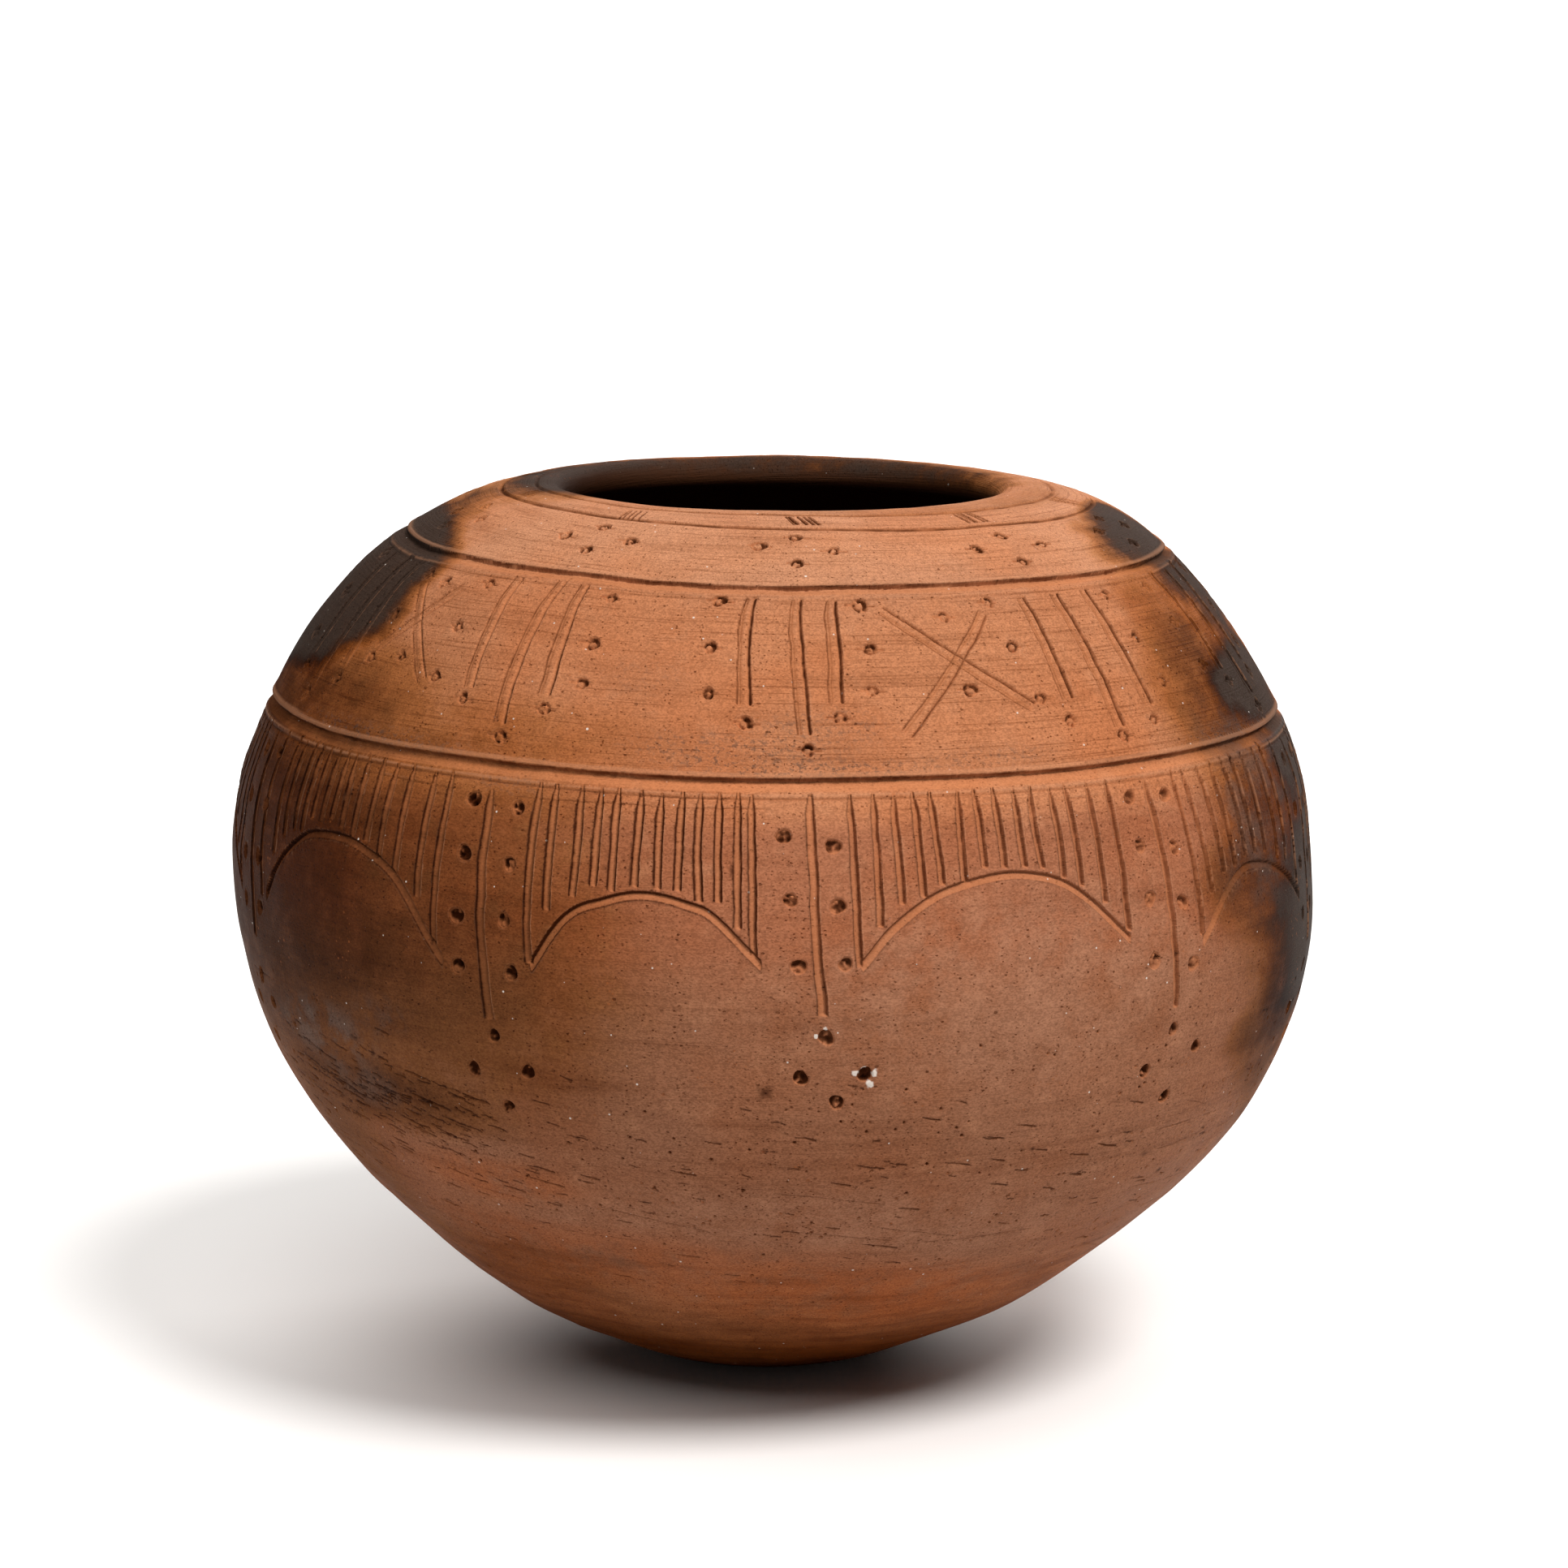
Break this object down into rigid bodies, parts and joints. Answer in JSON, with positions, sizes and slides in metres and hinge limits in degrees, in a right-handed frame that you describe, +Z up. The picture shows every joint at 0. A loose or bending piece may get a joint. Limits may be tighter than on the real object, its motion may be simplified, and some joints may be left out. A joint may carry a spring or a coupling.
{
  "type": "olla",
  "caption": "Neckless globular clay cooking and storage pot with a wide mouth, round bottom and incised bands on shoulder and belly.",
  "frame": {"origin": "middle of the worn foot, on the surface that the pot stands on", "axes": "+Z up along the axis of the pot; -Y towards the side that the picture shows; +X to its right"},
  "size_m": [0.3, 0.3, 0.2455],
  "materials": {
    "burnished_clay": "orange-brown low-fired earthenware, rubbed to a low sheen, with dark fire clouds, pits and drag marks",
    "wiped_clay": "paler orange low-fired earthenware, wiped smooth with fine level streaks, matt, with soot-dark fire clouds"
  },
  "bodies": {
    "root": {"base_bowl": "burnished_clay", "lower_belly_course": "burnished_clay", "upper_belly_course": "burnished_clay", "shoulder_course": "wiped_clay", "neck_course": "wiped_clay", "rim_coil": "wiped_clay"}
  },
  "joints": []
}
